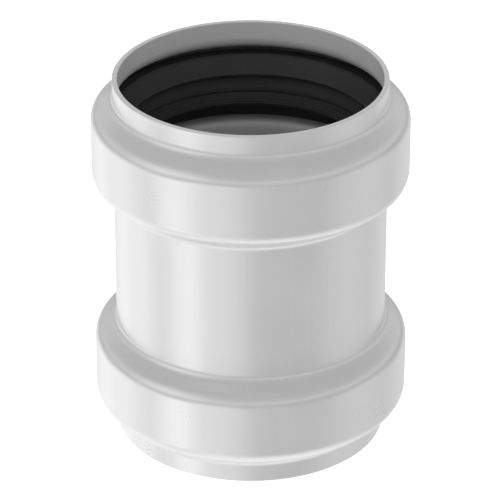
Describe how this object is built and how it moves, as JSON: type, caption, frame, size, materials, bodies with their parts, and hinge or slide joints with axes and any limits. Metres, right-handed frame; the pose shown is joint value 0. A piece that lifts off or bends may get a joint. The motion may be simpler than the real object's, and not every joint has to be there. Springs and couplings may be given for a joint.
{
  "type": "push fit coupling",
  "caption": "Straight push-fit pipe coupling: a thin steel sleeve with a bulged seal chamber and rubber lip seals near each mouth.",
  "frame": {"origin": "middle of the sleeve, on its axis and halfway between the two mouths", "axes": "+Z along the sleeve's axis to the upper mouth; X and Y are any two directions across it"},
  "size_m": [0.0918, 0.0918, 0.111],
  "materials": {
    "sleeve_steel": "matt, pickled after forming",
    "seal_rubber": "matt moulded, black"
  },
  "bodies": {
    "sleeve": {"sleeve": "sleeve_steel"},
    "upper_wiper": {"upper_wiper_ring": "seal_rubber"},
    "upper_seal": {"upper_lip_seal": "seal_rubber"},
    "lower_wiper": {"lower_wiper_ring": "seal_rubber"},
    "lower_seal": {"lower_lip_seal": "seal_rubber"}
  },
  "joints": [
    {"name": "upper_wiper_turn", "type": "hinge", "parent": "sleeve", "child": "upper_wiper", "pos_m": [0, 0, 0.038], "axis": [0, 0, 1], "continuous": true},
    {"name": "upper_seal_turn", "type": "hinge", "parent": "sleeve", "child": "upper_seal", "pos_m": [0, 0, 0.029], "axis": [0, 0, 1], "continuous": true},
    {"name": "lower_wiper_turn", "type": "hinge", "parent": "sleeve", "child": "lower_wiper", "pos_m": [0, 0, -0.038], "axis": [0, 0, 1], "continuous": true},
    {"name": "lower_seal_turn", "type": "hinge", "parent": "sleeve", "child": "lower_seal", "pos_m": [0, 0, -0.029], "axis": [0, 0, 1], "continuous": true}
  ]
}
